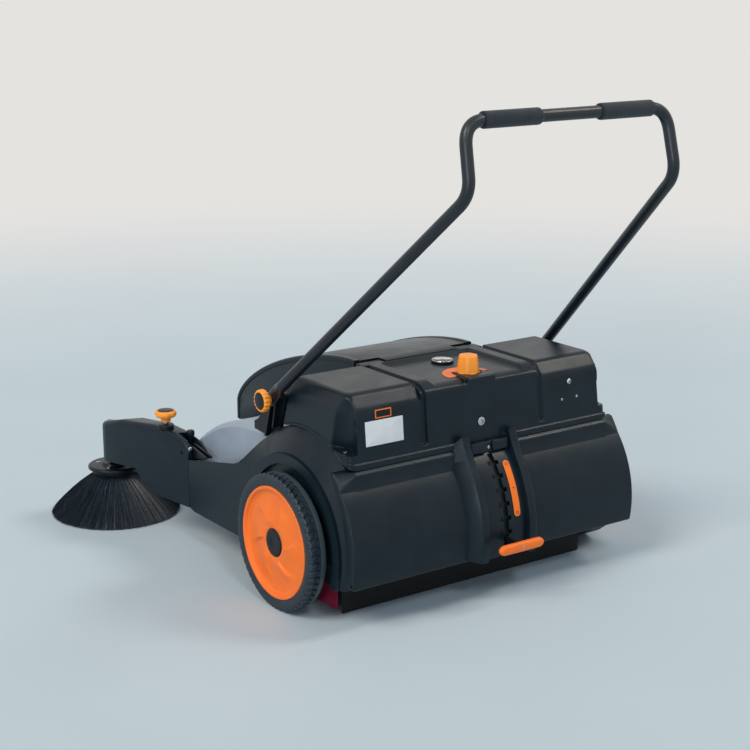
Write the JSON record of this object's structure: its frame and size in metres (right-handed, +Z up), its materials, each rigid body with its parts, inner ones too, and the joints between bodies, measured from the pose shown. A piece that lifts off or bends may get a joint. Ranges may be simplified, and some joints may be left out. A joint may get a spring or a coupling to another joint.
{
  "type": "manual floor sweeper",
  "caption": "Push-along floor sweeper with a bent tube handle, two big wheels, a lidded brush housing, a rear dust container and a cone brush on each front arm.",
  "frame": {"origin": "middle of the whole footprint, on the floor", "axes": "+Z up, -Y towards the side brushes (the machine's front), +X towards the user's left"},
  "size_m": [1.1654, 1.3944, 1.0808],
  "materials": {
    "body": "fine matt texture",
    "dark": "fine matt texture",
    "hood": "smooth satin",
    "orange": "satin",
    "knob": "satin",
    "tyre": "matt moulded tread",
    "rubber": "matt",
    "flap": "matt",
    "foam": "soft foam",
    "tube": "powder coated",
    "steel": "zinc plated",
    "nylon": "moulded",
    "bristle": "bristle tufts",
    "glass": "clear"
  },
  "bodies": {
    "chassis": {"side_frame_left": "body", "side_frame_right": "body", "brush_hood": "hood", "rear_cover": "body", "stub_axle_left": "steel", "stub_axle_right": "steel", "handle_bracket_left": "dark", "handle_bracket_right": "dark", "gauge_case": "dark", "gauge_lens": "glass", "rear_seal_strip": "rubber", "seal_clamp": "steel", "side_flap_left": "flap", "side_flap_right": "flap", "arm_bracket_left": "dark", "arm_bracket_right": "dark", "cross_tube": "steel", "front_bar": "steel", "dirt_ramp": "dark"},
    "wheel_left": {"tyre_left": "tyre", "hub_left": "orange", "hub_cap_left": "dark", "ring_gear": "nylon"},
    "wheel_right": {"tyre_right": "tyre", "hub_right": "orange", "hub_cap_right": "dark"},
    "layshaft_unit": {"layshaft": "steel", "pinion": "nylon", "layshaft_pulley": "nylon"},
    "carriage": {"swing_arm_left": "steel", "swing_arm_right": "steel", "drive_belt": "rubber"},
    "roller": {"roller_core": "dark", "roller_bristles": "bristle", "roller_pulley": "nylon"},
    "lid": {"front_cover": "body"},
    "container": {"dust_container": "body", "lever_pin": "steel"},
    "lever": {"brush_lever": "dark", "lever_handle": "orange"},
    "dial": {"dial_knob": "knob"},
    "handle": {"handle_tube": "tube", "grip_left": "foam", "grip_right": "foam"},
    "clamp_left": {"clamp_knob_left": "knob"},
    "clamp_right": {"clamp_knob_right": "knob"},
    "side_arm_left": {"arm_cover_left": "body"},
    "side_arm_right": {"arm_cover_right": "body"},
    "star_left": {"star_knob_left": "knob"},
    "star_right": {"star_knob_right": "knob"},
    "side_brush_left": {"brush_disc_left": "dark", "brush_bristles_left": "bristle"},
    "side_brush_right": {"brush_disc_right": "dark", "brush_bristles_right": "bristle"},
    "castor_swivel": {"castor_fork": "steel"},
    "castor_roll": {"castor_wheel": "rubber"}
  },
  "joints": [
    {"name": "wheel_left_spin", "type": "hinge", "parent": "chassis", "child": "wheel_left", "pos_m": [0.418, 0.2495, 0.15], "axis": [1, 0, 0], "continuous": true},
    {"name": "wheel_right_spin", "type": "hinge", "parent": "chassis", "child": "wheel_right", "pos_m": [-0.418, 0.2495, 0.15], "axis": [1, 0, 0], "continuous": true},
    {"name": "layshaft_spin", "type": "hinge", "parent": "chassis", "child": "layshaft_unit", "pos_m": [0, 0.1895, 0.15], "axis": [1, 0, 0], "continuous": true},
    {"name": "carriage_swing", "type": "hinge", "parent": "chassis", "child": "carriage", "pos_m": [0, 0.1895, 0.15], "axis": [1, 0, 0], "range_deg": [-3.1, 0]},
    {"name": "roller_spin", "type": "hinge", "parent": "carriage", "child": "roller", "pos_m": [0, -0.0505, 0.131], "axis": [1, 0, 0], "continuous": true},
    {"name": "front_cover_hinge", "type": "hinge", "parent": "chassis", "child": "lid", "pos_m": [0, 0.1937, 0.484], "axis": [1, 0, 0], "range_deg": [-70, 0]},
    {"name": "container_slide", "type": "slide", "parent": "chassis", "child": "container", "axis": [0, 1, 0], "range_m": [0, 0.3]},
    {"name": "lever_swing", "type": "hinge", "parent": "container", "child": "lever", "pos_m": [0, 0.2495, 0.15], "axis": [1, 0, 0], "range_deg": [0, 38]},
    {"name": "dial_turn", "type": "hinge", "parent": "chassis", "child": "dial", "pos_m": [0, 0.3575, 0.481], "axis": [0, 0, 1], "range_deg": [0, 270]},
    {"name": "handle_fold", "type": "hinge", "parent": "chassis", "child": "handle", "pos_m": [0, 0.1495, 0.435], "axis": [1, 0, 0], "range_deg": [0, 130]},
    {"name": "clamp_left_turn", "type": "hinge", "parent": "chassis", "child": "clamp_left", "pos_m": [0.38, 0.1495, 0.435], "axis": [1, 0, 0], "range_deg": [0, 360]},
    {"name": "clamp_right_turn", "type": "hinge", "parent": "chassis", "child": "clamp_right", "pos_m": [-0.38, 0.1495, 0.435], "axis": [1, 0, 0], "range_deg": [0, 360]},
    {"name": "arm_left_lift", "type": "hinge", "parent": "chassis", "child": "side_arm_left", "pos_m": [0.3635, -0.2305, 0.222], "axis": [1, 0, 0], "range_deg": [-18, 0]},
    {"name": "star_knob_left_turn", "type": "hinge", "parent": "side_arm_left", "child": "star_left", "pos_m": [0.3916, -0.3051, 0.28], "axis": [0, 0, 1], "range_deg": [0, 360]},
    {"name": "side_brush_left_spin", "type": "hinge", "parent": "side_arm_left", "child": "side_brush_left", "pos_m": [0.4198, -0.5343, 0.11], "axis": [0, 0, 1], "continuous": true},
    {"name": "arm_right_lift", "type": "hinge", "parent": "chassis", "child": "side_arm_right", "pos_m": [-0.3635, -0.2305, 0.222], "axis": [1, 0, 0], "range_deg": [-18, 0]},
    {"name": "star_knob_right_turn", "type": "hinge", "parent": "side_arm_right", "child": "star_right", "pos_m": [-0.3916, -0.3051, 0.28], "axis": [0, 0, 1], "range_deg": [0, 360]},
    {"name": "side_brush_right_spin", "type": "hinge", "parent": "side_arm_right", "child": "side_brush_right", "pos_m": [-0.4198, -0.5343, 0.11], "axis": [0, 0, 1], "continuous": true},
    {"name": "castor_swivel_turn", "type": "hinge", "parent": "chassis", "child": "castor_swivel", "pos_m": [0, -0.2625, 0.11], "axis": [0, 0, 1], "continuous": true},
    {"name": "castor_wheel_spin", "type": "hinge", "parent": "castor_swivel", "child": "castor_roll", "pos_m": [0, -0.2425, 0.03], "axis": [1, 0, 0], "continuous": true}
  ],
  "couplings": [
    {"joint": "layshaft_spin", "follows": "wheel_left_spin", "ratio": 3.5},
    {"joint": "roller_spin", "follows": "wheel_left_spin", "ratio": 3.5},
    {"joint": "side_brush_left_spin", "follows": "wheel_left_spin", "ratio": -1.3},
    {"joint": "side_brush_right_spin", "follows": "wheel_left_spin", "ratio": 1.3},
    {"joint": "carriage_swing", "follows": "lever_swing", "ratio": -0.08}
  ]
}
